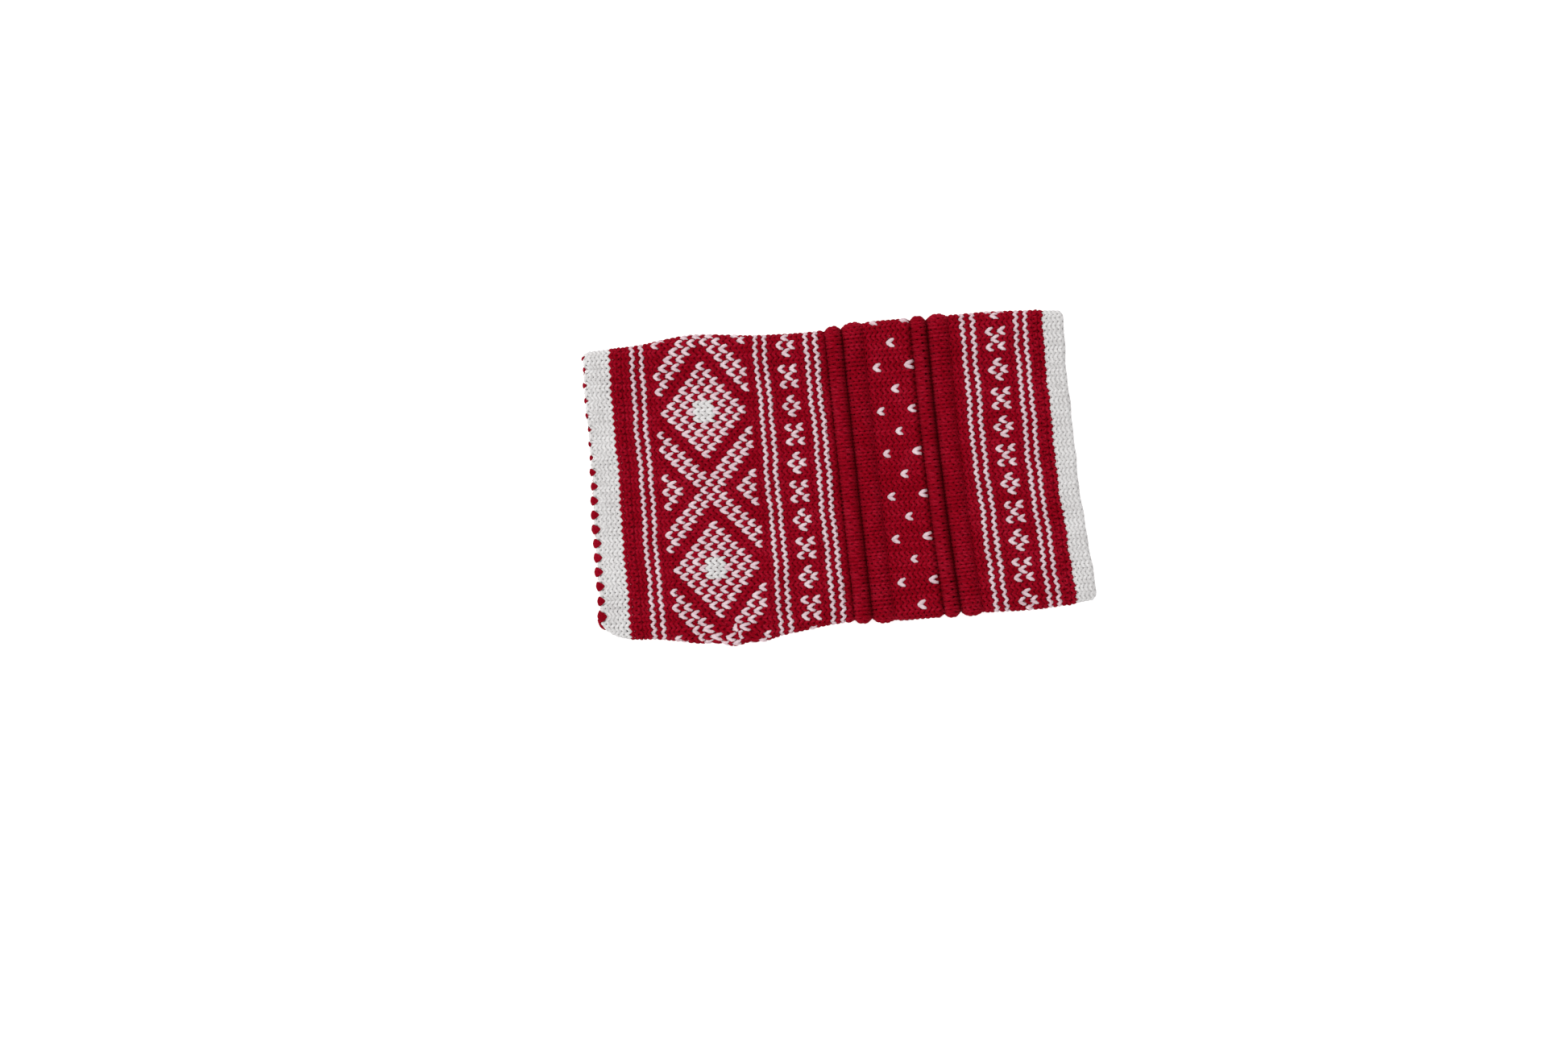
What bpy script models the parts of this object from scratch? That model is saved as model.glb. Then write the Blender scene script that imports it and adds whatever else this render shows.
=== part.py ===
"""Knitted wrist and hand warmer, lying flat: a seamless tube of colour-work knitting.

Frame, in metres: +X runs along the tube from the started end to the finished end, +Y runs across it,
+Z is up. The origin is under the middle of the tube, on the surface it lies on.
The tube is built as rings, one for each band, layer or single-colour round of the knitting.
"""
import math

import bpy

MM = 0.001

# ---- driving dimensions, in millimetres
CENTRE = (0.845, -1.226)   # middle of the finished outline, which becomes the origin
LIE_HEIGHT = 10.6          # thickness of the tube as it lies
GAP = 0.32                 # clearance between neighbouring rings
LEFT_FOLD = -84.0          # fold of the picot hem
LEFT_HEM_END = -74.7       # where the white hem meets the red border
RIGHT_HEM_START = 76.6     # where the red border meets the white hem
RIGHT_FOLD = 83.3          # fold of the plain hem
TOP_WIDTH = 50.4           # half-width towards +Y, before the swells
BOTTOM_WIDTH = 51.3        # half-width towards -Y, before the swells
KNIT_WALL = 2.0            # single layer of stranded knitting
HEM_WALL = 1.4             # outer layer of a hem
FACING_WALL = 1.2          # inner layer of a hem
FLOAT_WALL = 0.6           # yarn carried loose behind a pattern
TACKING_WIDTH = 0.9        # yarn that sews a facing down
TACKING_OFFSET = 0.9       # from the edge of the hem to the tacking yarn
FLOAT_INSET = 1.5          # from the edge of a pattern band to its floats

# ---- outline: where the tube bulges, as (height, middle, spread), and its rounded corners
TOP_SWELLS = ((2.2, -45.0, 14.0), (1.8, 42.0, 36.0))
BOTTOM_SWELLS = ((4.2, -38.0, 20.0), (0.8, 38.0, 36.0))
LEFT_CORNERS = LEFT_FOLD - 1.2
RIGHT_CORNERS = RIGHT_FOLD + 0.8
TOP_LEFT_RADIUS = 4.0
TOP_RIGHT_RADIUS = 2.5
BOTTOM_LEFT_RADIUS = 7.0
BOTTOM_RIGHT_RADIUS = 3.0
CORNER_SHARE = 0.75        # how much of a full quarter circle each corner takes

# ---- lean of the rounds: full amount, where it starts, and the length it builds up over
SLANT = (0.040, -63.0, 113.0)
CURVE = (0.00065, -5.0, 75.0)

# ---- stripes: middle of the first white round, and the step from one round to the next
STRIPE_A = (-66.7, 1.65)
STRIPE_B = (-23.3, 1.65)
STRIPE_C = (-5.4, 1.65)
STRIPE_D = (48.7, 1.75)
STRIPE_E = (67.0, 1.60)

# ---- rolls of the welts: start, end and height of each
LEFT_ROLLS = ((1.7, 7.2, 2.3), (7.2, 14.3, 2.1))
RIGHT_ROLLS = ((31.3, 36.4, 2.1), (36.4, 43.2, 2.3))
CREASES = ((7.2, 0.9, 1.1), (36.4, 0.9, 1.1))
WELT_LEFT_END = 14.9
WELT_RIGHT_START = 30.9
ROLL_FULLNESS = 0.8        # below 1, a roll is rounder than a sine wave
ROLL_WIDENING = 0.3        # how much of a roll's height also shows at the sides

# ---- how each ring is divided
SIDE_STEPS = 7
FLAT_STEPS = 5
PICOT_SIDE_STEPS = 12
PICOT_FLAT_STEPS = 32
PICOT_BASE = 0.2
PICOT_REACH = 1.1
SHARP_ANGLE = 40.0
STRIPE_SPACING = 5.0       # greatest distance between the sections of a ring, by kind of band
BORDER_SPACING = 4.0
DIAMOND_SPACING = 9.0
MOTIF_SPACING = 6.0
DOT_SPACING = 8.0
LEFT_HEM_SECTIONS = (LEFT_FOLD, -82.0, -79.0)
RIGHT_HEM_SECTIONS = (81.6, RIGHT_FOLD)
LEFT_WELT_SECTIONS = (1.7, 3.0, 4.5, 6.0, 7.2, 8.4, 10.7, 12.8)
RIGHT_WELT_SECTIONS = (32.6, 33.9, 35.2, 36.4, 37.6, 39.8, 41.7, 43.2)

RED = (0.36, 0.004, 0.018)
RED_INSIDE = (0.26, 0.004, 0.014)
WHITE = (0.80, 0.78, 0.75)


def swell(x, centre, spread):
    return math.exp(-((x - centre) / spread) ** 2)


def corner(x, edge, radius, inward):
    """How far a rounded corner of an end draws the outline in at x."""
    reach = radius - (x - edge) * inward
    if reach <= 0.0:
        return 0.0
    return radius - math.sqrt(max(radius ** 2 - reach ** 2, 0.0))


def top_edge(x):
    """Outline towards +Y."""
    width = TOP_WIDTH + sum(height * swell(x, middle, spread) for height, middle, spread in TOP_SWELLS)
    cut = corner(x, LEFT_CORNERS, TOP_LEFT_RADIUS, 1) + corner(x, RIGHT_CORNERS, TOP_RIGHT_RADIUS, -1)
    return width - CORNER_SHARE * cut


def bottom_edge(x):
    """Outline towards -Y."""
    width = BOTTOM_WIDTH + sum(height * swell(x, middle, spread) for height, middle, spread in BOTTOM_SWELLS)
    cut = corner(x, LEFT_CORNERS, BOTTOM_LEFT_RADIUS, 1) + corner(x, RIGHT_CORNERS, BOTTOM_RIGHT_RADIUS, -1)
    return CORNER_SHARE * cut - width


def smooth(t):
    t = min(max(t, 0.0), 1.0)
    return t * t * (3.0 - 2.0 * t)


def lean(x, y):
    """How far a round leans along the tube, since the finished end was laid down aslant."""
    slant, curve = (amount * smooth((x - start) / length) for amount, start, length in (SLANT, CURVE))
    return x - slant * y + curve * y * y


def ridge(x):
    """Height of the welts above the flat knitting."""
    height = 0.0
    for start, end, rise in LEFT_ROLLS + RIGHT_ROLLS:
        if start < x < end:
            height = rise * math.sin(math.pi * (x - start) / (end - start)) ** ROLL_FULLNESS
    for centre, spread, depth in CREASES:
        height -= depth * swell(x, centre, spread)
    return height


def section(x, inset, side_steps, flat_steps):
    """Closed cross-section at x as (y, z) pairs, starting at the top of the +Y side."""
    lift = ridge(x)
    radius = LIE_HEIGHT / 2.0
    high = top_edge(x) - radius + ROLL_WIDENING * lift
    low = bottom_edge(x) + radius - ROLL_WIDENING * lift
    half = (LIE_HEIGHT + lift) / 2.0
    reach, rise = radius - inset, half - inset
    points = []
    for i in range(side_steps):
        angle = math.pi / 2.0 - math.pi * i / side_steps
        points.append((high + reach * math.cos(angle), half + rise * math.sin(angle)))
    for i in range(flat_steps):
        points.append((high + (low - high) * i / flat_steps, half - rise))
    for i in range(side_steps):
        angle = -math.pi / 2.0 - math.pi * i / side_steps
        points.append((low + reach * math.cos(angle), half + rise * math.sin(angle)))
    for i in range(flat_steps):
        points.append((low + (high - low) * i / flat_steps, half + rise))
    return points


def wool(name, colour):
    material = bpy.data.materials.new(name + "_wool")
    material.use_nodes = True
    shader = material.node_tree.nodes["Principled BSDF"]
    shader.inputs["Base Color"].default_value = (*colour, 1.0)
    shader.inputs["Roughness"].default_value = 0.92
    shader.inputs["Metallic"].default_value = 0.0
    return material


def ring(name, stations, depth, wall, colour, steps=(SIDE_STEPS, FLAT_STEPS), teeth=0.0):
    """Band of the tube between the first and last station, with its outer face `depth` below the outside."""
    around = 2 * sum(steps)
    verts = []
    for layer in (depth, depth + wall):
        for k, x in enumerate(stations):
            for i, (y, z) in enumerate(section(x, layer, *steps)):
                tooth = teeth * (i % 2) if k == 0 else 0.0
                verts.append(((lean(x - tooth, y) - CENTRE[0]) * MM, (y - CENTRE[1]) * MM, z * MM))
    rows = len(stations)
    inner = rows * around
    faces = []
    for i in range(around):
        j = (i + 1) % around
        for k in range(rows - 1):
            a, b = k * around, (k + 1) * around
            faces.append((a + i, b + i, b + j, a + j))
            faces.append((inner + a + i, inner + a + j, inner + b + j, inner + b + i))
        last = (rows - 1) * around
        faces.append((i, j, inner + j, inner + i))
        faces.append((inner + last + i, inner + last + j, last + j, last + i))
    mesh = bpy.data.meshes.new(name)
    mesh.from_pydata(verts, [], faces)
    mesh.update()
    mesh.shade_smooth()
    mesh.set_sharp_from_angle(angle=math.radians(SHARP_ANGLE))
    mesh.materials.append(wool(name, colour))
    body = bpy.data.objects.new(name, mesh)
    bpy.context.scene.collection.objects.link(body)
    return body


def span(start, end, spacing):
    """Evenly spaced stations from start to end, about `spacing` apart, inside the gaps to the neighbours."""
    first, last = start + GAP / 2.0, end - GAP / 2.0
    count = max(1, round((last - first) / spacing))
    return [first + (last - first) * i / count for i in range(count + 1)]


def stripe_edges(stripe):
    """The four edges of a white round, a red round and a white round."""
    first, step = stripe
    return [first + (k - 0.5) * step for k in range(4)]


def make_stripe(letter, stripe):
    edges = stripe_edges(stripe)
    for k, (word, colour) in enumerate((("first", WHITE), ("middle", RED), ("last", WHITE))):
        name = f"stripe_{letter}_{word}"
        ring(name, span(edges[k], edges[k + 1], STRIPE_SPACING), 0.0, KNIT_WALL, colour)


def make_pattern_band(band, floats, start, end, spacing):
    """A band of pattern knitting and the yarn carried behind it."""
    carried = span(start + FLOAT_INSET, end - FLOAT_INSET, spacing)
    ring(band, span(start, end, spacing), 0.0, KNIT_WALL, RED)
    ring(floats, carried, KNIT_WALL + GAP, FLOAT_WALL, WHITE)


def make_left_end():
    steps = (PICOT_SIDE_STEPS, PICOT_FLAT_STEPS)
    facing_depth = HEM_WALL + GAP
    tacking = LEFT_HEM_END + TACKING_OFFSET
    hem = [*LEFT_HEM_SECTIONS, LEFT_HEM_END - GAP / 2.0]
    ring("left_hem", hem, 0.0, HEM_WALL, WHITE, steps)
    points = [LEFT_FOLD - PICOT_BASE]
    ring("left_hem_facing", points + hem, facing_depth, FACING_WALL, RED_INSIDE, steps, PICOT_REACH)
    ring("left_hem_tacking", [tacking, tacking + TACKING_WIDTH], KNIT_WALL + GAP, FLOAT_WALL, WHITE)
    border = span(LEFT_HEM_END, stripe_edges(STRIPE_A)[0], BORDER_SPACING)
    ring("left_border", border, 0.0, KNIT_WALL, RED)


def make_right_end():
    facing_depth = HEM_WALL + GAP
    tacking = RIGHT_HEM_START - TACKING_OFFSET
    border = span(stripe_edges(STRIPE_E)[3], RIGHT_HEM_START, BORDER_SPACING)
    ring("right_border", border, 0.0, KNIT_WALL, RED)
    hem = [RIGHT_HEM_START + GAP / 2.0, *RIGHT_HEM_SECTIONS]
    ring("right_hem", hem, 0.0, HEM_WALL, WHITE)
    ring("right_hem_facing", hem, facing_depth, FACING_WALL, RED_INSIDE)
    ring("right_hem_tacking", [tacking - TACKING_WIDTH, tacking], KNIT_WALL + GAP, FLOAT_WALL, WHITE)


def make_welts():
    start = stripe_edges(STRIPE_C)[3] + GAP / 2.0
    left = [start, *LEFT_WELT_SECTIONS, WELT_LEFT_END - GAP / 2.0]
    end = stripe_edges(STRIPE_D)[0] - GAP / 2.0
    right = [WELT_RIGHT_START + GAP / 2.0, *RIGHT_WELT_SECTIONS, end]
    ring("left_welts", left, 0.0, KNIT_WALL, RED)
    ring("right_welts", right, 0.0, KNIT_WALL, RED)


def build():
    for old in list(bpy.data.objects):
        bpy.data.objects.remove(old, do_unlink=True)
    make_left_end()
    for letter, stripe in zip("abcde", (STRIPE_A, STRIPE_B, STRIPE_C, STRIPE_D, STRIPE_E)):
        make_stripe(letter, stripe)
    a, b, c, d, e = (stripe_edges(s) for s in (STRIPE_A, STRIPE_B, STRIPE_C, STRIPE_D, STRIPE_E))
    make_pattern_band("diamond_band", "diamond_floats", a[3], b[0], DIAMOND_SPACING)
    make_pattern_band("left_motif_band", "left_motif_floats", b[3], c[0], MOTIF_SPACING)
    make_pattern_band("dot_band", "dot_floats", WELT_LEFT_END, WELT_RIGHT_START, DOT_SPACING)
    make_pattern_band("right_motif_band", "right_motif_floats", d[3], e[0], MOTIF_SPACING)
    make_welts()
    make_right_end()


build()
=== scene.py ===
"""Knitted wrist and hand warmer, lying flat: every stitch is a loop of yarn on the shape of the tube.

Lengths are in millimetres until a mesh is made. +X runs along the tube, +Y across it and +Z up.
A place on the knitting is (q, w, h): q is the distance along the tube, w counts wales round it from
the middle of the upper side, and h is the height above the middle of the cloth.
"""
import math

import bpy
import numpy as np
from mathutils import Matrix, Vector


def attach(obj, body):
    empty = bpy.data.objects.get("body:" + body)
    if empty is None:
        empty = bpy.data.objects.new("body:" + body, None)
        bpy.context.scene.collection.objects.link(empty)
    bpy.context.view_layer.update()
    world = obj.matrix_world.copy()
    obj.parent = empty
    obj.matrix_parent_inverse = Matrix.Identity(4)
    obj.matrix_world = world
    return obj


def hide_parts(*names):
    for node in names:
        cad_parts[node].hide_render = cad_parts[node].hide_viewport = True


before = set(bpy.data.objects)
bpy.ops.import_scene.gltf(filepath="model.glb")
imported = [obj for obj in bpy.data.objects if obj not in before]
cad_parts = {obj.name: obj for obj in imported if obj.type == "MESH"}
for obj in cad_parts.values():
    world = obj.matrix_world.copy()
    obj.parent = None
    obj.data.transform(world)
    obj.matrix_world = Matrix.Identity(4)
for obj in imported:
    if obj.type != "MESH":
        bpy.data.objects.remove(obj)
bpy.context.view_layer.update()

MM = 0.001
CENTRE = (0.845, -1.226)       # middle of the outline, the origin of the frame
HEIGHT = 10.6                  # thickness of the tube as it lies
WALES = 88                     # stitches round the tube
WALE_PITCH = 2.46              # width of one stitch on the upper side
EDGE_EXCESS = 1.7              # what the wales near the side folds are wider by, in all
EVEN_WALES = 12.0              # wales on each side of the middle that keep their width
HALF_WALES = WALES // 2
UPPER_WALES = np.arange(-22, 22)
UNDER_WALES = np.concatenate((np.arange(22, 44), np.arange(-44, -22)))
CLOTH_DEPTH = 1.12             # from the outside to the middle of the outer cloth
FACING_DEPTH = 2.9             # from the outside to the middle of a hem's facing
LEFT_TURN = -82.5              # where the cloth starts to turn over at the left fold
RIGHT_TURN = 81.8
TURN_RADIUS = (FACING_DEPTH - CLOTH_DEPTH) / 2.0
TURN_LENGTH = math.pi * TURN_RADIUS
NOTCH_DEPTH = 1.25             # of the notches in the white fold, one for each picot point

# ---- outline: half-widths along the tube
TOP_EDGE = ((-86, 50.0), (-66, 50.5), (-46, 52.7), (-24, 50.9), (-2, 50.5), (16, 52.2), (38, 52.3),
            (60, 52.3), (86, 50.8))
BOTTOM_EDGE = ((-86, 50.8), (-66, 51.9), (-50, 54.6), (-36, 56.0), (-20, 53.6), (-4, 51.6), (20, 52.3),
               (44, 51.9), (62, 52.2), (86, 50.4))
MIDDLE_WALE = ((-86, -0.8), (-43, -1.5), (-13, -2.1), (23, -1.5), (59, -0.4), (86, -0.2))

# ---- rounded corners of the ends: where each starts, radius, way in, share of a quarter circle
TOP_CORNERS = ((LEFT_TURN - 2.0, 4.5, 1, 0.8), (RIGHT_TURN + 2.0, 2.5, -1, 0.8))
BOTTOM_CORNERS = ((LEFT_TURN - 2.4, 11.0, 1, 0.95), (RIGHT_TURN + 2.0, 3.0, -1, 0.8))

# ---- how it was laid down: amount, where it starts along the tube, and the length it builds up over
SLANT = (0.040, -63.0, 113.0)
CURVE = (0.00065, -5.0, 75.0)
END_PULL = 0.9                 # how far the left end is drawn out towards its lower corner
SAG = 0.5                      # how much lower the tube lies between its hems
SAG_START, SAG_END, SAG_RISE = -78.0, 76.0, 12.0
RUMPLE = (-40.0, 11.0)         # middle and spread of the rumple, along the tube
RUMPLE_EDGE, RUMPLE_REACH = -44.0, 7.0

# ---- rolls of the welts: start, end, height
ROLLS = ((1.9, 7.0, 2.3), (7.9, 14.4, 2.1), (31.9, 36.1, 2.2), (37.3, 43.3, 2.3))
CREASES = ((7.35, 1.4, 2.0), (36.6, 1.5, 2.5), (1.8, 0.9, 1.7), (14.5, 0.9, 0.5), (31.4, 1.0, 2.0),
           (43.5, 0.9, 0.5))
ROLL_FULLNESS = 0.8            # below 1, a roll is rounder than a sine wave
ROLL_WIDENING = 0.35           # share of a roll's height that also shows at the sides

# ---- places of marked rounds, counted from the left fold: round number, distance along the tube
MARKS = ((0, -83.1), (5, -75.1), (8, -71.2), (10, -68.3), (11, -66.7), (13, -63.4), (16, -58.6), (30, -28.1),
         (33, -23.25), (35, -20.0), (38, -14.65), (40, -10.55), (43, -5.4), (45, -2.1), (47, 1.4),
         (52, 7.3), (58, 14.9), (60, 18.4), (63, 23.75), (66, 29.0), (67, 31.0), (72, 36.7),
         (78, 43.8), (81, 48.7), (83, 52.2), (86, 57.5), (88, 61.8), (91, 67.0), (93, 70.2),
         (96, 75.2), (97, 77.2), (101, 83.1))
HEM_ROUNDS = 6
FIRST_RIGHT_HEM_ROUND = 97
LAST_ROUND = 101
STRIPE_ROUNDS = (11, 13, 33, 35, 43, 45, 81, 83, 91, 93)
DIAMOND_MIDDLE = 23
DIAMOND_REPEAT = 22            # wales from one diamond to the next
DIAMOND_REACH = 7              # rounds on each side of the middle
DIAMOND_LINES = (4, 6, 10, 12, 16)
MOTIF_MIDDLES = {39: 3, 87: 5}     # middle round, and the first wale of the repeat
MOTIF_REPEAT = 8
DOT_ROUNDS = {60: 3, 63: 0, 66: 3}
DOT_REPEAT = 6
PURL_ROUNDS = (8, 95)
CREASE_ROUNDS = (47, 52, 58, 67, 72, 78)

# ---- where the knitting is more open: lines of holes, and the flanks of the welts with their share
OPEN_LINES = (-72.0, -70.4, 1.7, 7.4, 14.5, 31.4, 36.7, 43.4, 72.8, 74.6)
OPEN_CREASES = ((1.8, 1.0), (6.4, 1.0), (8.4, 0.8), (13.6, 0.7), (31.3, 1.0), (35.6, 1.0), (37.4, 0.9),
                (42.6, 0.6))

# ---- loose hairs
HAIRS = 6500
HAIR_POINTS = 5
HAIR_SIDES = 3
HAIR_RADIUS = 0.018

# ---- yarn
LOOKS = {                      # radius, reach in rounds, depth and lift of each kind of stitch
    "inside": (0.45, 0.58, 0.32, 0.0),
    "hem": (0.565, 0.56, 0.18, 0.12),
    "stripe": (0.52, 0.53, 0.38, 0.04),
    "dot": (0.68, 0.72, 0.38, 0.10),
    "purl": (0.55, 0.46, 0.46, 0.22),
    "crease": (0.53, 0.60, 0.36, -0.08),
    "white": (0.63, 0.68, 0.38, 0.08),
    "plain": (0.58, 0.61, 0.38, 0.0),
}
FACING_PITCH = 1.45            # from round to round of a hem's facing
FLOAT_HEIGHT = -1.45
FLOAT_RADIUS = 0.40
TACKING_RADIUS = 0.12
LAST_HEM_REACH = 0.78          # the hem's last round, whose points reach into the red
LEAN = 0.285                   # how far a leg leans across its wale
ROLL_LEAN = 0.085              # how much less it leans where a welt stretches the cloth
PURL_LEAN = 0.10
PURL_SHIFT = 0.45
HEAD_DIVE = 1.4                # how much deeper a white stitch's head goes behind the next round
STITCH_LENGTH = 7.6            # yarn in one stitch
PLY_LENGTH = 2.3               # from one ply line to the next, along the yarn
YARN_FLATTEN = 0.92
HEM_FLATTEN = 0.68
PRESSED_LAYER = 0.3            # how far up the underside is squeezed flat
SAMPLES = 14
SIDES = 8


def through(x, knots):
    """Smooth curve through the knots."""
    xs, ys = np.array(knots, float).T
    slope = np.gradient(ys, xs)
    i = np.clip(np.searchsorted(xs, x) - 1, 0, len(xs) - 2)
    step = xs[i + 1] - xs[i]
    t = np.clip((x - xs[i]) / step, 0.0, 1.0)
    a, b = ys[i], ys[i + 1]
    return (a * (1 + 2 * t) * (1 - t) ** 2 + slope[i] * step * t * (1 - t) ** 2
            + b * t * t * (3 - 2 * t) - slope[i + 1] * step * t * t * (1 - t))


def smooth(t):
    """Eases from 0 to 1 while t goes from 0 to 1."""
    t = np.clip(t, 0.0, 1.0)
    return t * t * (3.0 - 2.0 * t)


def swell(x, centre, spread):
    """Bell curve, 1 at its centre."""
    return np.exp(-((x - centre) / spread) ** 2)


def rounding(x, corners):
    """How far the rounded corners draw the outline in at x."""
    cut = 0.0
    for edge, radius, inward, share in corners:
        reach = np.clip(radius - (x - edge) * inward, 0.0, radius)
        cut = cut + share * (radius - np.sqrt(radius ** 2 - reach ** 2))
    return cut


def raw_ridge(x):
    """Height of the welts above the flat knitting, before it is smoothed."""
    height = np.zeros_like(x)
    for start, end, rise in ROLLS:
        t = np.clip((x - start) / (end - start), 0.0, 1.0)
        height += rise * np.sin(np.pi * t) ** ROLL_FULLNESS
    for centre, spread, depth in CREASES:
        height -= depth * swell(x, centre, spread)
    return height


RIDGE_X = np.arange(-95.0, 95.0, 0.05)
KERNEL = np.exp(-np.linspace(-2.2, 2.2, 29) ** 2)
RIDGE = np.convolve(raw_ridge(RIDGE_X), KERNEL / KERNEL.sum(), mode="same")
RIDGE_LENGTH = np.concatenate(([0.0], np.cumsum(np.hypot(np.diff(RIDGE_X), np.diff(RIDGE)))))


def round_places():
    """Place of every round, spaced evenly over the cloth between the marked ones."""
    number, place = np.array(MARKS).T
    along = np.interp(np.arange(LAST_ROUND + 1), number, np.interp(place, RIDGE_X, RIDGE_LENGTH))
    return np.interp(along, RIDGE_LENGTH, RIDGE_X), np.gradient(along)


def waviness(x, y):
    """Slow rise and fall of a soft thing that was laid down by hand."""
    return (0.16 * np.sin(x / 9.0 + 0.6) * np.cos(y / 15.0 + 0.4) + 0.14 * np.sin(x / 23.0 - y / 19.0)
            + 0.10 * np.sin(y / 6.5 + x / 31.0 + 1.7))


def girth_place(w, total):
    """Distance round the tube from the middle wale: even on the upper side, looser towards the edges."""
    turns = np.round(w / WALES)
    around = w - turns * WALES
    far = np.abs(around)
    upper = HALF_WALES / 2
    loose = EDGE_EXCESS * smooth((far - EVEN_WALES) / (upper - EVEN_WALES))
    rest = ((total - WALES * WALE_PITCH) / 2.0 - EDGE_EXCESS) * smooth((far - upper) / upper)
    return turns * total + np.sign(around) * (WALE_PITCH * far + loose + rest)


def laid_down(x, y, w):
    """Where the hand that laid the tube down has moved its point (x, y) to."""
    slant, curve = (amount * smooth((x - start) / length) for amount, start, length in (SLANT, CURVE))
    pull = END_PULL * smooth((-70.0 - x) / 14.0) * smooth((8.0 - y) / 50.0)
    rumple = swell(x, *RUMPLE) * smooth((RUMPLE_EDGE - y) / RUMPLE_REACH)
    along = rumple * (1.0 * np.sin(x / 2.3 + 1.0) + 0.6 * np.sin(x / 1.1 + w))
    across = rumple * 0.5 * np.sin(x / 2.0 + 0.3 * w)
    return x - slant * y + curve * y * y - pull + along, y + across


def wrap(x, w, depth):
    """Point of the tube at x and wale w, `depth` inside the outside."""
    lift = np.interp(x, RIDGE_X, RIDGE)
    side = HEIGHT / 2.0
    high = through(x, TOP_EDGE) - side + ROLL_WIDENING * lift - rounding(x, TOP_CORNERS)
    low = side - through(x, BOTTOM_EDGE) - ROLL_WIDENING * lift + rounding(x, BOTTOM_CORNERS)
    sag = SAG * smooth((x - SAG_START) / SAG_RISE) * smooth((SAG_END - x) / SAG_RISE)
    half = (HEIGHT - sag + lift) / 2.0
    flat = high - low
    arc = math.pi * (side + half - 2.0 * CLOTH_DEPTH) / 2.0
    total = 2.0 * (flat + arc)
    s = np.mod(girth_place(w, total) + through(x, MIDDLE_WALE) - low, total)
    turn = np.clip((s - flat) / arc, 0.0, 1.0) + np.clip((s - 2.0 * flat - arc) / arc, 0.0, 1.0)
    angle = np.pi * (0.5 - turn)
    y = low + np.clip(s, 0.0, flat) - np.clip(s - flat - arc, 0.0, flat)
    y = y + (side - depth) * np.cos(angle)
    upper = 0.5 + 0.5 * np.sin(angle)
    z = half + (half - depth) * np.sin(angle) + upper * waviness(x, y)
    x, y = laid_down(x, y, w)
    return np.stack((x - CENTRE[0], y - CENTRE[1], z), -1)


def profile(q):
    """Distance x and depth of a point q along the outside, round a fold and back along a facing."""
    left = np.clip(LEFT_TURN - q, 0.0, None)
    right = np.clip(q - RIGHT_TURN, 0.0, None)
    over = left + right
    angle = np.clip(over / TURN_RADIUS, 0.0, np.pi)
    back = np.clip(over - TURN_LENGTH, 0.0, None)
    reach = TURN_RADIUS * np.sin(angle) - back
    x = np.clip(q, LEFT_TURN, RIGHT_TURN) + np.where(left > 0, -reach, reach)
    return x, CLOTH_DEPTH + TURN_RADIUS * (1.0 - np.cos(angle))


def scallop(q, w):
    """How far the white fold is drawn in where a picot point fills the notch."""
    near = smooth((LEFT_TURN + 5.0 - q) / 5.4) * smooth((q - LEFT_TURN + TURN_LENGTH + 4.0) / 4.0)
    return NOTCH_DEPTH * near * (0.5 + 0.5 * np.cos(np.pi * (w + 0.5)))


def wander(x, w):
    """Slow drift of the rounds, as in any hand knitting."""
    turn = 2.0 * np.pi * w / WALES
    return (0.17 * np.sin(5.0 * turn + x / 13.0) + 0.12 * np.sin(11.0 * turn - x / 7.0 + 1.0)
            + 0.10 * np.sin(23.0 * turn + x / 4.0))


def surface(q, w, notched=True):
    """Middle of the cloth at a place along the tube and a wale."""
    x, depth = profile(q)
    return wrap(x + notched * scallop(q, w) + wander(x, w), w, depth)


def cloth(q, w, h, notched=True):
    """Point h above the middle of the cloth."""
    dq, dw = 0.06, 0.03
    along = surface(q + dq, w, notched) - surface(q - dq, w, notched)
    across = surface(q, w + dw, notched) - surface(q, w - dw, notched)
    normal = np.cross(along, across)
    normal /= np.linalg.norm(normal, axis=-1, keepdims=True)
    return surface(q, w, notched) + normal * np.asarray(h)[..., None], normal


# ---------------------------------------------------------------- colour chart

def in_hem(k):
    """Whether round k belongs to a hem."""
    return (k < HEM_ROUNDS) | (k >= FIRST_RIGHT_HEM_ROUND)


def diamond_place(k, w):
    """Rounds and wales from the middle of the nearest diamond."""
    half = DIAMOND_REPEAT // 2
    return np.abs(k - DIAMOND_MIDDLE), np.abs((w % DIAMOND_REPEAT) - half)


def is_white(k, w):
    """Whether the stitch of round k on wale w is white."""
    white = in_hem(k) | np.isin(k, STRIPE_ROUNDS)
    column, row = diamond_place(k, w)
    far = row + column
    tip = (row == DIAMOND_REPEAT // 2) & (column == DIAMOND_REACH)
    white |= (column <= DIAMOND_REACH) & ((far <= 2) | np.isin(far, DIAMOND_LINES) | tip)
    for middle, start in MOTIF_MIDDLES.items():
        column = np.abs(k - middle)
        turn = (w - start) % MOTIF_REPEAT
        small_ring = ((turn == 0) & (column == 1)) | (((turn == 1) | (turn == 7)) & (column == 0))
        cross = ((turn == 4) & (column == 0)) | (((turn == 3) | (turn == 5)) & (column == 1))
        white |= small_ring | cross
    for number, start in DOT_ROUNDS.items():
        white |= (k == number) & ((w - start) % DOT_REPEAT == 0)
    return white


def diamond_centre(k, w):
    """The solid white middle of each diamond, far from the red, so it gets no painted red bounce light."""
    column, row = diamond_place(k, w)
    return (column <= 1) & (row <= 1)


# ---------------------------------------------------------------- meshes

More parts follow.
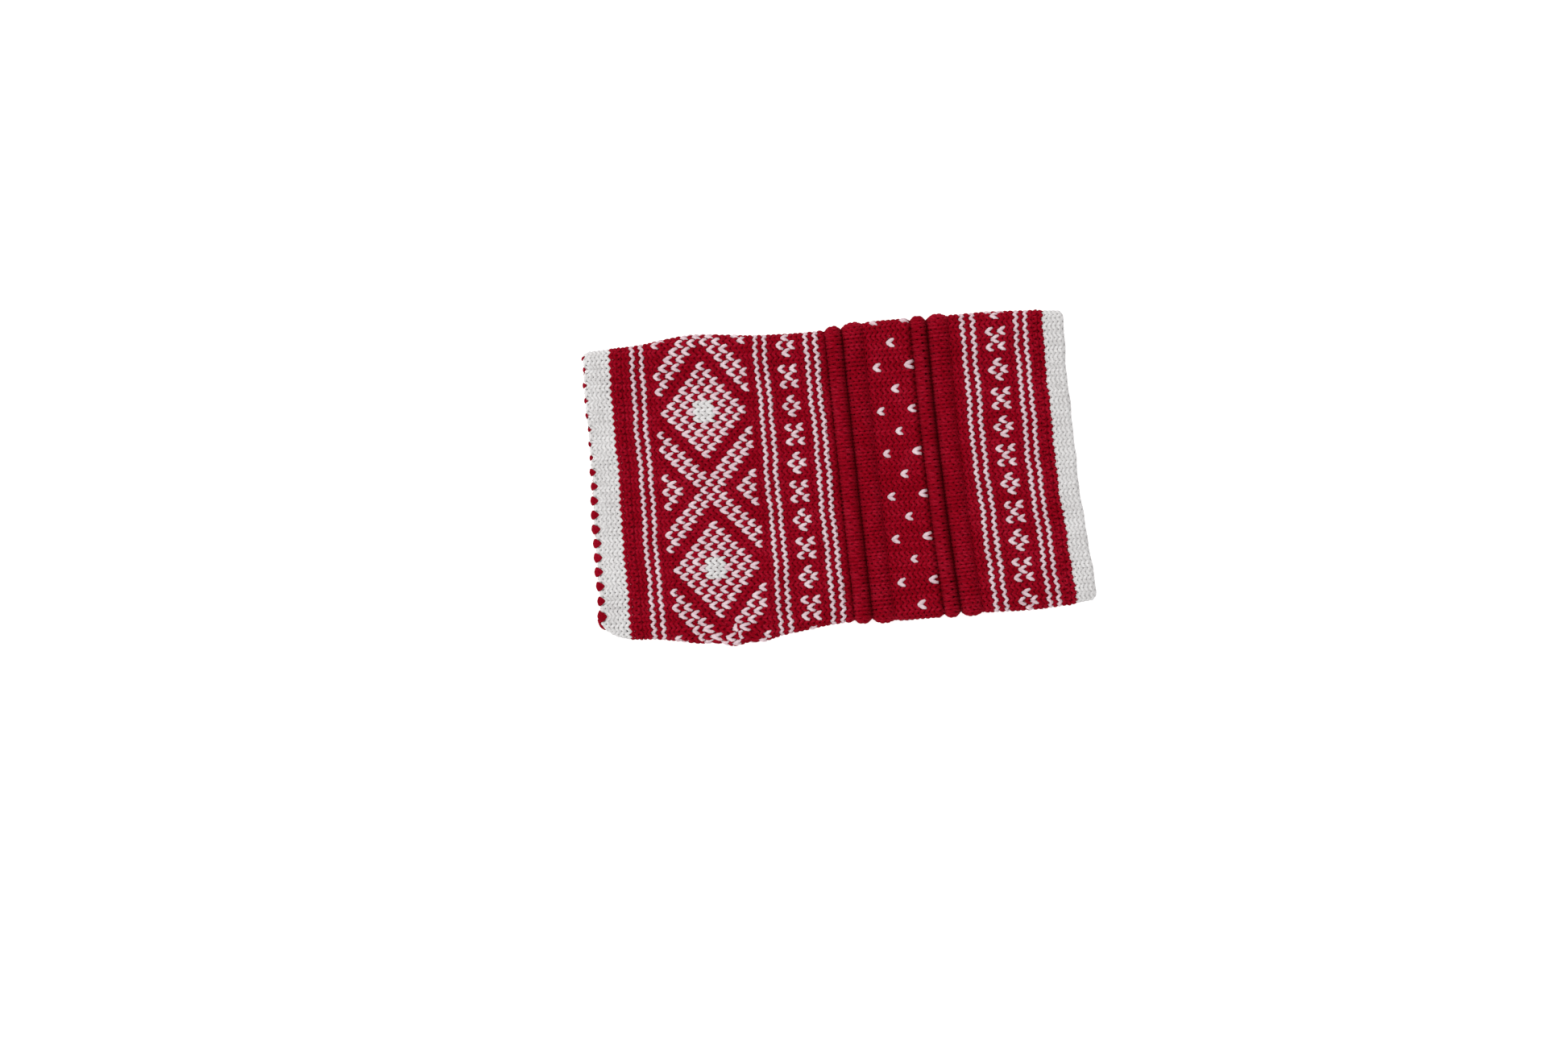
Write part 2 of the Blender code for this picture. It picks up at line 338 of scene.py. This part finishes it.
def add_piece(name, verts, quads, material, nodes, bake, yarn):
    """Object of quads in the frame's root body, with its two UV layers."""
    mesh = bpy.data.meshes.new(name)
    mesh.vertices.add(len(verts))
    mesh.vertices.foreach_set("co", (verts * MM).astype(np.float32).ravel())
    mesh.loops.add(quads.size)
    mesh.loops.foreach_set("vertex_index", quads.astype(np.int32).ravel())
    mesh.polygons.add(len(quads))
    mesh.polygons.foreach_set("loop_start", np.arange(0, quads.size, 4, dtype=np.int32))
    mesh.update(calc_edges=True)
    mesh.shade_smooth()
    for layer, coords in (("OFBake", bake), ("Yarn", yarn)):
        uv = mesh.uv_layers.new(name=layer)
        uv.data.foreach_set("uv", coords.astype(np.float32).ravel())
    mesh.materials.append(material)
    piece = bpy.data.objects.new(name, mesh)
    bpy.context.scene.collection.objects.link(piece)
    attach(piece, "root")
    if nodes:
        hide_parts(*nodes)
    return piece


def pressed(z):
    """Height of a point once the tube's weight has pressed it against the surface it lies on."""
    return 0.5 * (z + np.hypot(z, PRESSED_LAYER))


def tube_rings(path, normal, radius, flatten=YARN_FLATTEN):
    """Rings of SIDES points round each point of the paths; the second axis of `path` runs along them."""
    tangent = np.gradient(path, axis=1)
    tangent /= np.linalg.norm(tangent, axis=-1, keepdims=True)
    side = np.cross(tangent, normal)
    side /= np.linalg.norm(side, axis=-1, keepdims=True)
    up = np.cross(side, tangent)
    angle = 2.0 * np.pi * np.arange(SIDES) / SIDES
    r = np.asarray(radius)[..., None, None]
    rings = (path[:, :, None, :] + r * (np.cos(angle)[:, None] * side[:, :, None, :]
                                        + flatten * np.sin(angle)[:, None] * up[:, :, None, :]))
    rings[..., 2] = pressed(rings[..., 2])
    return rings


def tube_quads(first, second):
    """Quads between two arrays of ring numbers."""
    s = np.arange(SIDES)
    t = (s + 1) % SIDES
    a, b = first[:, None] * SIDES, second[:, None] * SIDES
    return np.stack((a + s, a + t, b + t, b + s), -1).reshape(-1, 4)


def cap_quads(ring_number, flip):
    """Faces that close the tubes at these rings."""
    base = np.array([[0, 1, 2, 3], [0, 3, 4, 7], [7, 4, 5, 6]])
    if flip:
        base = base[:, ::-1]
    return (ring_number[:, None, None] * SIDES + base).reshape(-1, 4)


def corner_uv(place, row, column):
    """The four corners of each quad of a grid; `place` turns rows and columns into u and v."""
    corners = ((row, column), (row, column + 1), (row + 1, column + 1), (row + 1, column))
    return np.stack([np.stack(np.broadcast_arrays(*place(*corner)), -1) for corner in corners], -2)


def grid_uv(count, steps, sides=SIDES, margin=0.04):
    """Bake layer: each stitch has its own cell, with its length and its girth unrolled in it."""
    cells = max(1, math.ceil(math.sqrt(count)))
    number = np.arange(count)[:, None, None]
    scale = 1.0 - 2.0 * margin

    def place(along, around):
        return ((number % cells + margin + scale * along / steps) / cells,
                (number // cells + margin + scale * around / sides) / cells)

    return corner_uv(place, np.arange(steps)[None, :, None], np.arange(sides)[None, None, :])


def yarn_uv(start, steps, step):
    """Yarn layer: distance along the yarn in millimetres, and the share of a turn round it."""
    begin = start[:, None, None]
    return corner_uv(lambda along, around: (begin + step * along, around / SIDES),
                     np.arange(steps)[None, :, None], np.arange(SIDES)[None, None, :])


PLACES, PITCHES = round_places()
RANDOM = np.random.default_rng(88)
JITTER = RANDOM.normal(0.0, 1.0, (4, LAST_ROUND + 20, WALES))


def on_roll(q):
    """Where the cloth is stretched round a welt, so that the legs of its stitches lie straight."""
    return sum(smooth((q - start) / 1.2) * smooth((end - q) / 1.2) for start, end, _ in ROLLS)


def near_crease(q):
    """How open the knitting is beside the creases of the welts."""
    return np.clip(sum(share * swell(q, place, 1.5) for place, share in OPEN_CREASES), 0.0, 1.0)


def stitch_look(k, w, inside):
    """Radius, reach in rounds, depth and lift of each stitch, by its kind."""
    white = is_white(k, w)
    kinds = {"inside": np.full(k.shape, inside), "hem": in_hem(k), "stripe": np.isin(k, STRIPE_ROUNDS),
             "dot": white & np.isin(k, tuple(DOT_ROUNDS)), "purl": np.isin(k, PURL_ROUNDS),
             "crease": np.isin(k, CREASE_ROUNDS), "white": white}
    masks = list(kinds.values())
    radius, reach, depth, lift = (np.select(masks, [LOOKS[kind][i] for kind in kinds], LOOKS["plain"][i])
                                  for i in range(4))
    reach = np.where(k == HEM_ROUNDS - 1, LAST_HEM_REACH, reach)
    thinner = 0.22 * near_crease(PLACES[k % (LAST_ROUND + 1)])
    radius = radius * np.where(white, 1.0, 1.0 - thinner)
    return radius, reach, depth, lift


def stitch_paths(q, pitch, w, k, inside):
    """Centre lines of stitches from their place, round pitch, wale and round number, one row each."""
    t = np.linspace(-2.0 * np.pi / SAMPLES, 2.0 * np.pi * (1.0 + 1.0 / SAMPLES), SAMPLES + 3)[None, :]
    rise = 0.5 - 0.5 * np.cos(t)
    # no two stitches are quite alike: jw moves one round the tube, jq along it, jh up, and jr widens it
    jw, jq, jh, jr = (JITTER[i][k, w % WALES][:, None] for i in range(4))
    radius, reach, depth, lift = (value[:, None] for value in stitch_look(k, w, inside))
    purl = (np.isin(k, PURL_ROUNDS) & (not inside))[:, None]
    patterned = (is_white(k, w) & ~in_hem(k))[:, None]
    lean = LEAN - (0.0 if inside else ROLL_LEAN) * on_roll(q)
    lean = np.where(purl, PURL_LEAN, lean[:, None])
    wale = w[:, None] - 0.5 + t / (2.0 * np.pi) + lean * np.sin(2.0 * t) + 0.028 * jw * rise
    along = q[:, None] - reach * pitch[:, None] * (1.0 + 0.045 * jr) * np.cos(t) + 0.06 * jq * rise
    front = -np.cos(2.0 * t)
    dive = np.where(patterned, HEAD_DIVE, 1.0)
    front = np.where(front > 0.0, np.abs(front) ** 0.7, -dive * np.abs(front) ** 0.9)
    front = np.where(purl, -np.cos(t), front)
    along = along - PURL_SHIFT * purl
    h = depth * (1.0 + 0.12 * jh * rise) * front + lift
    taper = np.where(patterned, 0.16, 0.10)
    radius = radius * (1.04 - taper + taper * np.sin(t) ** 2) * (1.0 + 0.035 * jr)
    return along, wale, h, radius


def neighbours(k, w, step):
    """Number of the stitch `step` wales on in the same round, or -1 where another yarn takes over."""
    key = {(a, b): i for i, (a, b) in enumerate(zip(k.tolist(), w.tolist()))}
    return np.array([key.get((a, (b + step + HALF_WALES) % WALES - HALF_WALES), -1) for a, b in key])


def knit(name, numbers, colour, material, nodes, wales=None, places=None, inside=False, centre=None):
    """A piece made of the stitches of one colour in some rounds.

    `colour` is True for white, False for red and None for a band of one colour. `places` gives the
    places and the pitch of rounds that aren't among the marked ones. `centre` picks the middles of the
    diamonds (True), everything but them (False), or all (None).
    """
    wales = np.arange(-HALF_WALES, HALF_WALES) if wales is None else wales
    numbers = np.array(numbers)
    k, w = np.meshgrid(numbers, wales, indexing="ij")
    chosen = np.ones(k.shape, bool) if colour is None else is_white(k, w) == colour
    if centre is not None:
        chosen &= diamond_centre(k, w) == centre
    place = PLACES[k] if places is None else places[0][k - numbers[0]]
    pitch = PITCHES[k] if places is None else np.full(k.shape, places[1])
    k, w, q, pitch = k[chosen], w[chosen], place[chosen], pitch[chosen]
    along, wale, h, radius = stitch_paths(q, pitch, w, k, inside)
    path, normal = cloth(along, wale, h)
    flatten = HEM_FLATTEN if in_hem(k).all() and not inside else YARN_FLATTEN
    rings = tube_rings(path, normal, radius, flatten)[:, 1:-1]
    count = len(k)
    follow, before = neighbours(k, w, 1), neighbours(k, w, -1)
    ends = np.flatnonzero(follow < 0)
    verts = np.concatenate((rings[:, :-1].reshape(-1, 3), rings[ends, -1].reshape(-1, 3)))
    last = np.where(follow >= 0, follow * SAMPLES, 0)
    last[ends] = count * SAMPLES + np.arange(len(ends))
    number = np.concatenate((np.arange(count * SAMPLES).reshape(count, SAMPLES), last[:, None]), 1)
    quads = tube_quads(number[:, :-1].ravel(), number[:, 1:].ravel())
    bake = grid_uv(count, SAMPLES).reshape(-1, 2)
    start = (k * 13.7 + w * STITCH_LENGTH).astype(float)
    yarn = yarn_uv(start, SAMPLES, STITCH_LENGTH / SAMPLES).reshape(-1, 2)
    starts = np.flatnonzero(before < 0)
    caps = np.concatenate((cap_quads(starts * SAMPLES, True), cap_quads(last[ends], False)))
    quads = np.concatenate((quads, caps))
    bake = np.concatenate((bake, np.full((caps.size, 2), 0.999)))
    yarn = np.concatenate((yarn, np.zeros((caps.size, 2))))
    return add_piece(name, verts, quads, material, nodes, bake, yarn)


def strand(name, lines, material, nodes, notched=True):
    """Closed yarns. Each line is (q, w, h, radius) arrays whose first and last points repeat their ends."""
    q, w, h, radius = (np.stack([line[i] for line in lines]) for i in range(4))
    path, normal = cloth(q, w, h, notched)
    rings = tube_rings(path, normal, radius)[:, 1:-1]
    count, steps = rings.shape[:2]
    number = np.arange(count * steps).reshape(count, steps)
    quads = tube_quads(number.ravel(), np.roll(number, -1, axis=1).ravel())
    bake = grid_uv(count, steps).reshape(-1, 2)
    yarn = yarn_uv(np.arange(count) * 31.7, steps, 0.6).reshape(-1, 2)
    return add_piece(name, rings.reshape(-1, 3), quads, material, nodes, bake, yarn)


# ---------------------------------------------------------------- materials

def calc(tree, operation, *values):
    """Math node; each value is a number or another node's output."""
    made = tree.nodes.new("ShaderNodeMath")
    made.operation = operation
    for socket, value in zip(made.inputs, values):
        if isinstance(value, bpy.types.NodeSocket):
            tree.links.new(value, socket)
        else:
            socket.default_value = value
    return made.outputs[0]


def noise(tree, place, scale, detail, roughness):
    """Noise texture over `place`."""
    made = tree.nodes.new("ShaderNodeTexNoise")
    made.inputs["Scale"].default_value = scale
    made.inputs["Detail"].default_value = detail
    made.inputs["Roughness"].default_value = roughness
    tree.links.new(place, made.inputs["Vector"])
    return made.outputs[0]


def shade_ramp(tree, value, deep, body, bright):
    """Colour for a value about 0.5: deep where it is low and bright where it is high."""
    ramp = tree.nodes.new("ShaderNodeValToRGB")
    first, last = ramp.color_ramp.elements
    first.position, first.color = 0.37, (*deep, 1.0)
    last.position, last.color = 0.64, (*bright, 1.0)
    middle = ramp.color_ramp.elements.new(0.5)
    middle.color = (*body, 1.0)
    tree.links.new(value, ramp.inputs[0])
    return ramp.outputs["Color"]


def wool(name, deep, body, bright, sheen, sheen_tint, specular):
    """Twisted wool: ply lines and fibres along the yarn, and slow changes of shade."""
    material = bpy.data.materials.new(name)
    material.use_nodes = True
    tree = material.node_tree
    shader = tree.nodes["Principled BSDF"]
    yarn = tree.nodes.new("ShaderNodeUVMap")
    yarn.uv_map = "Yarn"
    parts = tree.nodes.new("ShaderNodeSeparateXYZ")
    tree.links.new(yarn.outputs["UV"], parts.inputs[0])
    along, around = parts.outputs["X"], parts.outputs["Y"]
    space = tree.nodes.new("ShaderNodeTexCoord").outputs["Object"]

    # ply lines: a slanting wave, two plies round the yarn
    phase = calc(tree, "MULTIPLY", along, 2.0 * math.pi / PLY_LENGTH)
    wave = calc(tree, "SINE", calc(tree, "MULTIPLY_ADD", around, 4.0 * math.pi, phase))

    # fibres: noise drawn out along the yarn, coarse and fine
    drawn = calc(tree, "MULTIPLY", along, 0.9)
    stretch = tree.nodes.new("ShaderNodeCombineXYZ")
    tree.links.new(drawn, stretch.inputs["X"])
    tree.links.new(calc(tree, "MULTIPLY_ADD", around, 9.0, drawn), stretch.inputs["Y"])
    fibre = noise(tree, stretch.outputs[0], 1.6, 4.0, 0.65)
    finer = tree.nodes.new("ShaderNodeMapping")
    finer.inputs["Scale"].default_value = (1.3, 5.0, 1.0)
    tree.links.new(stretch.outputs[0], finer.inputs["Vector"])
    fine = noise(tree, finer.outputs[0], 1.0, 3.0, 0.7)

    # slow changes over the cloth, and the grain of the wool
    slow = noise(tree, space, 140.0, 3.0, 0.6)
    grain = noise(tree, space, 2600.0, 2.0, 0.6)

    uneven = calc(tree, "MULTIPLY_ADD", grain, 0.25, calc(tree, "MULTIPLY", slow, 0.25))
    # the ply wave in the colour is painted shade in the grooves between the plies; the noises are random
    # tone of the wool
    shade = calc(tree, "MULTIPLY_ADD", wave, 0.045, calc(tree, "MULTIPLY_ADD", fine, 0.50, uneven))
    tree.links.new(shade_ramp(tree, shade, deep, body, bright), shader.inputs["Base Color"])

    rough = tree.nodes.new("ShaderNodeMapRange")
    rough.inputs["To Min"].default_value = 0.82
    rough.inputs["To Max"].default_value = 1.0
    tree.links.new(fibre, rough.inputs["Value"])
    tree.links.new(rough.outputs[0], shader.inputs["Roughness"])

    fibres = calc(tree, "MULTIPLY_ADD", fine, 0.8, fibre)
    relief = calc(tree, "MULTIPLY_ADD", grain, 0.35, calc(tree, "MULTIPLY_ADD", wave, 0.30, fibres))
    bump = tree.nodes.new("ShaderNodeBump")
    bump.inputs["Strength"].default_value = 0.8
    bump.inputs["Distance"].default_value = 0.00022
    tree.links.new(relief, bump.inputs["Height"])
    tree.links.new(bump.outputs[0], shader.inputs["Normal"])
    shader.inputs["Specular IOR Level"].default_value = specular
    shader.inputs["Sheen Weight"].default_value = sheen
    shader.inputs["Sheen Roughness"].default_value = 0.55
    shader.inputs["Sheen Tint"].default_value = (*sheen_tint, 1.0)
    return material


def plain(name, colour, rough):
    """Material of one even colour."""
    material = bpy.data.materials.new(name)
    material.use_nodes = True
    shader = material.node_tree.nodes["Principled BSDF"]
    shader.inputs["Base Color"].default_value = (*colour, 1.0)
    shader.inputs["Roughness"].default_value = rough
    return material


# shades from deep to bright, then sheen, its tint, and specular
# the red's bright shade, with more green and blue, is a painted pinkish highlight of the fuzz placed at
# random by the noise; the rest of its range is random tone of the wool
RED = wool("red_wool_yarn", (0.19, 0.0002, 0.004), (0.285, 0.0004, 0.009), (0.40, 0.010, 0.032),
           0.06, (0.9, 0.12, 0.20), 0.015)
WHITE = wool("white_wool_yarn", (0.55, 0.53, 0.525), (0.73, 0.715, 0.71), (0.82, 0.81, 0.805),
             0.08, (1.0, 0.98, 0.97), 0.08)
# painted shade: dark, slightly red wool for the hem grounds, which only show in the shadowed holes between
# the white loops
WHITE_PAINTED_SHADE = wool("white_wool_painted_shade", (0.16, 0.11, 0.11), (0.26, 0.19, 0.19), (0.40, 0.32, 0.31),
                    0.0, (1.0, 0.95, 0.94), 0.0)
# painted red bounce light: the pink tint of these whites stands in for red light thrown onto them by the red
# knitting around them
WHITE_PAINTED_RED_BOUNCE = wool("white_wool_painted_red_bounce", (0.56, 0.38, 0.42), (0.74, 0.555, 0.60), (0.85, 0.73, 0.76),
                  0.08, (1.0, 0.86, 0.90), 0.08)


# ---------------------------------------------------------------- pieces

def halves(split, whole=""):
    """Name endings and wales of a band, which is made in two pieces where it has many stitches."""
    return (("_upper", UPPER_WALES), ("_under", UNDER_WALES)) if split else ((whole, None),)


def knit_pair(name, numbers, nodes, split=False):
    """The red and the white stitches of a patterned band."""
    for word, wales in halves(split, "_all"):
        knit(f"{name}_red{word}", numbers, False, RED, nodes, wales)
    centre = False if split else None
    knit(f"{name}_white", numbers, True, WHITE_PAINTED_RED_BOUNCE, nodes, centre=centre)


def knit_plain(name, numbers, nodes, white, split=False, material=None):
    """A band of one colour."""
    material = material or (WHITE if white else RED)
    for word, wales in halves(split):
        knit(name + word, numbers, None, material, nodes, wales)


def make_stripes():
    """Each stripe is a white, a red and a white round."""
    for letter, first in zip("abcde", STRIPE_ROUNDS[::2]):
        knit_plain(f"stripe_{letter}_white_rounds", [first, first + 2],
                   (f"stripe_{letter}_first", f"stripe_{letter}_last"), True, material=WHITE_PAINTED_RED_BOUNCE)
        knit_plain(f"stripe_{letter}_red_round", [first + 1], (f"stripe_{letter}_middle",), False)


def make_facings():
    """The inner layers of the hems, which run on from the folds."""
    for name, sign, turn, count in (("left", -1, LEFT_TURN, 6), ("right", 1, RIGHT_TURN, 5)):
        start = turn + sign * (TURN_LENGTH + 0.2)
        q = start + sign * FACING_PITCH * np.arange(count)
        numbers = np.arange(count) + LAST_ROUND + 1
        knit(f"{name}_hem_facing_knit", numbers, None, RED, (f"{name}_hem_facing",),
             places=(q, FACING_PITCH), inside=True)


def float_line(q):
    """One yarn carried round the tube behind the pattern."""
    points = 3
    w = np.arange(-1, WALES * points + 1) / points - HALF_WALES
    swing = 0.10 * np.cos(2.0 * np.pi * w / 4.0)
    return q + swing, w, np.full(w.shape, FLOAT_HEIGHT), np.full(w.shape, FLOAT_RADIUS)


def make_floats():
    """The white yarn behind the patterns, one for each round where it is used."""
    bands = (("diamond", range(16, 31)), ("left_motif", range(38, 41)), ("dot", (60, 63, 66)),
             ("right_motif", range(86, 89)))
    for name, numbers in bands:
        lines = [float_line(PLACES[k] + 0.3) for k in numbers]
        strand(f"{name}_floats_yarn", lines, WHITE, (f"{name}_floats",))


def make_tacking():
    """The yarn that sews each facing down comes up as a small stitch on every wale."""
    for name, q in (("left", -73.25), ("right", 75.55)):
        points = 8
        w = np.arange(-1, WALES * points + 1) / points - HALF_WALES
        rise = np.clip(np.cos(2 * np.pi * (w - 0.5)), 0.0, 1.0) ** 3
        h = -1.2 + (1.75 + 0.16 * JITTER[3][0, np.round(w - 0.5).astype(int) % WALES]) * rise
        line = (q + 0.12 * np.sin(2 * np.pi * w), w, h, np.full(w.shape, TACKING_RADIUS))
        strand(f"{name}_hem_tacking_yarn", [line], WHITE_PAINTED_RED_BOUNCE, (f"{name}_hem_tacking",))


def make_picots():
    """Red points at the fold: loops of the facing's yarn that fill the notches of the white edge."""
    lines = []
    fold = LEFT_TURN - TURN_LENGTH / 2.0
    points = 16
    t = 2.0 * np.pi * np.arange(-1, points + 1) / points
    outward, sideways = (np.sign(v) * np.abs(v) ** 1.7 for v in (np.cos(t), np.sin(t)))
    for i in range(HALF_WALES):
        middle = 2.0 * i - HALF_WALES - 0.5
        # the points stand out most on the -Y half of the upper side
        shown = 1.0 - 0.50 * smooth((middle + 1.0) / 9.0)
        shown = shown if abs(middle) < 21.0 else 0.45
        shown = shown * (1.0 + 0.08 * JITTER[0][0, i])
        for size in (1.0, 0.68, 0.36, 0.08):    # loops in one another fill the point
            w = middle + 0.55 * shown * size * sideways
            h = 0.82 * shown - 0.30 + 0.22 * shown * (1.0 + size * outward) + 0.20 * (1.0 - size)
            q = fold + 0.10 + shown * (0.90 - 0.90 * size * outward - 0.45 * size * np.abs(sideways))
            lines.append((q, w, h, np.full(t.shape, 0.16 + 0.18 * shown)))
    strand("left_picot_points", lines, RED, ("left_hem_facing",), notched=False)


def make_bands():
    """The knitting, band by band from the left fold to the right one."""
    knit_plain("left_hem_knit", range(-1, HEM_ROUNDS), ("left_hem",), True)
    knit_plain("left_border_knit", range(6, 11), ("left_border",), False)
    make_stripes()
    knit_pair("diamond_band", range(14, 33), ("diamond_band",), split=True)
    knit("diamond_centres", range(22, 25), True, WHITE, ("diamond_band",), centre=True)
    knit_pair("left_motif_band", range(36, 43), ("left_motif_band",))
    knit_plain("left_welts_knit", range(46, 59), ("left_welts",), False, split=True)
    knit_pair("dot_band", range(59, 68), ("dot_band",))
    knit_plain("right_welts_knit", range(68, 81), ("right_welts",), False, split=True)
    knit_pair("right_motif_band", range(84, 91), ("right_motif_band",))
    knit_plain("right_border_knit", range(94, 97), ("right_border",), False)
    knit_plain("right_hem_knit", range(97, LAST_ROUND + 1), ("right_hem",), True)


def make_ground():
    """Thin cloth behind the loops: the crowded backs of the stitches, which close the knitting."""
    for name, start, end, height, held, material, slot in (
            # the hem grounds get wool with painted shade, for the shadowed holes between the loops
            ("left_hem_ground", -85.9, -75.2, -0.70, "folded", WHITE_PAINTED_SHADE, "white_wool"),
            ("middle_ground", -74.9, 76.2, -0.15, "laid", RED, "red_wool"),
            ("right_hem_ground", 76.5, 87.2, -0.70, "folded", WHITE_PAINTED_SHADE, "white_wool")):
        rows = round((end - start) / 0.8)
        q = np.linspace(start, end, rows + 1)
        w = np.arange(WALES * 2) / 2.0 - HALF_WALES
        grid_q, grid_w = np.meshgrid(q, w, indexing="ij")
        gap = sum(0.8 * swell(grid_q, place, 0.5) for place in OPEN_LINES) + 0.6 * near_crease(grid_q)
        verts, _ = cloth(grid_q, grid_w, height - gap)
        verts[..., 2] = pressed(verts[..., 2])
        count = len(w)
        row, column = np.arange(rows)[:, None], np.arange(count)[None, :]
        base, after = row * count, (column + 1) % count
        quads = np.stack((base + column, base + count + column, base + count + after, base + after), -1)
        bake = corner_uv(lambda a, b: (a / rows, b / count), row, column)[..., [0, 3, 2, 1], :]
        yarn = bake * np.array([(end - start), 110.0])
        piece = add_piece(name, verts.reshape(-1, 3), quads.reshape(-1, 4), material, (),
                          bake.reshape(-1, 2), yarn.reshape(-1, 2))


def add_hairs(name, path, normal, share, material):
    """Hairs along the rows of `path`, thinner where `share` of their length is behind them."""
    path[..., 2] = pressed(path[..., 2])
    tangent = np.gradient(path, axis=1)
    side = np.cross(tangent, normal)
    side /= np.linalg.norm(side, axis=-1, keepdims=True)
    up = np.cross(side, tangent)
    up /= np.linalg.norm(up, axis=-1, keepdims=True)
    angle = 2.0 * np.pi * np.arange(HAIR_SIDES) / HAIR_SIDES
    radius = (HAIR_RADIUS * (1.0 - 0.6 * share))[..., None, None]
    rings = path[:, :, None] + radius * (np.cos(angle)[:, None] * side[:, :, None]
                                         + np.sin(angle)[:, None] * up[:, :, None])
    count, points = rings.shape[:2]
    hair, step = np.arange(count)[:, None, None], np.arange(points - 1)[None, :, None]
    base = (hair * points + step) * HAIR_SIDES
    here = np.arange(HAIR_SIDES)[None, None, :]
    after = (here + 1) % HAIR_SIDES
    quads = np.stack((base + here, base + after, base + HAIR_SIDES + after, base + HAIR_SIDES + here), -1)
    bake = grid_uv(count, points - 1, HAIR_SIDES, 0.1).reshape(-1, 2)
    add_piece(name, rings.reshape(-1, 3), quads.reshape(-1, 4), material, (), bake, bake * 60.0)


def make_fuzz():
    """Loose hairs that stand off the yarn."""
    q = RANDOM.uniform(-83.5, 82.8, HAIRS)
    w = RANDOM.uniform(-HALF_WALES, HALF_WALES, HAIRS)
    nearest = np.abs(q[:, None] - PLACES[None, :]).argmin(axis=1)
    white = is_white(nearest, np.round(w).astype(int))
    t = np.linspace(0.0, 1.0, HAIR_POINTS)[None, :]
    reach = RANDOM.uniform(0.4, 1.5, HAIRS)[:, None]
    heading = RANDOM.uniform(0.0, 2.0 * np.pi, HAIRS)[:, None]
    curl = RANDOM.normal(0.0, 1.6, HAIRS)[:, None]
    way = heading + curl * t
    along = q[:, None] + reach * t * np.cos(way)
    wale = w[:, None] + reach * t * np.sin(way) / WALE_PITCH
    lift = RANDOM.uniform(0.05, 0.75, HAIRS)[:, None]
    h = 0.72 + lift * np.sin(0.8 * np.pi * t) * reach * 0.55
    for name, chosen, slot, material in (("white_fuzz", white, "white_wool", WHITE),
                                         ("red_fuzz", ~white, "red_wool", RED)):
        path, normal = cloth(along[chosen], wale[chosen], h[chosen])
        add_hairs(name, path, normal, t, material)


# ---------------------------------------------------------------- light, floor and camera

def make_floor():
    """Pale floor, bright enough to stay white round the tube."""
    bpy.ops.mesh.primitive_plane_add(size=6.0, location=(0.0, 0.0, -0.0002))
    floor = bpy.context.object
    floor.name = "floor"
    material = plain("pale_floor", (0.62, 0.62, 0.62), 0.9)
    shader = material.node_tree.nodes["Principled BSDF"]
    shader.inputs["Specular IOR Level"].default_value = 0.0
    shader.inputs["Emission Color"].default_value = (1.0, 1.0, 1.0, 1.0)
    shader.inputs["Emission Strength"].default_value = 0.70
    floor.data.materials.append(material)


def area_light(name, place, size, power):
    """Round lamp that points at the tube."""
    light = bpy.data.lights.new(name, "AREA")
    light.shape = "DISK"
    light.size = size
    light.energy = power
    lamp = bpy.data.objects.new(name, light)
    lamp.location = place
    lamp.rotation_mode = "QUATERNION"
    lamp.rotation_quaternion = (-Vector(place)).to_track_quat("-Z", "Y")
    bpy.context.scene.collection.objects.link(lamp)


def make_light():
    area_light("main_light", (-1.1, 0.45, 1.35), 0.8, 14.5)
    area_light("fill_light", (1.1, -0.6, 1.3), 1.4, 1.5)
    world = bpy.data.worlds.new("soft_world")
    world.use_nodes = True
    background = world.node_tree.nodes["Background"]
    background.inputs["Color"].default_value = (1.0, 1.0, 1.0, 1.0)
    background.inputs["Strength"].default_value = 0.80
    bpy.context.scene.world = world
    bpy.context.scene.view_settings.view_transform = "Standard"


def make_camera():
    """Straight down on the tube, turned a little, with the tube right of and above the middle."""
    lens, sensor = 100.0, 36.0
    view_width = 540.6
    turn = math.radians(4.67)
    right_of_middle, above_middle = 17.57, 16.32
    camera = bpy.data.cameras.new("camera")
    camera.lens = lens
    camera.sensor_width = sensor
    eye = bpy.data.objects.new("camera", camera)
    x = -right_of_middle * math.cos(turn) - above_middle * math.sin(turn) - CENTRE[0]
    y = right_of_middle * math.sin(turn) - above_middle * math.cos(turn) - CENTRE[1]
    cloth_height = HEIGHT - 2.0    # where the view is as wide as that
    height = view_width * lens / sensor + cloth_height
    eye.location = (x * MM, y * MM, height * MM)
    eye.rotation_euler = (0.0, 0.0, -turn)
    camera.clip_start, camera.clip_end = 0.05, 20.0
    bpy.context.scene.collection.objects.link(eye)
    bpy.context.scene.camera = eye


make_camera()
make_bands()
make_facings()
make_floats()
make_tacking()
make_picots()
make_ground()
make_fuzz()
make_floor()
make_light()
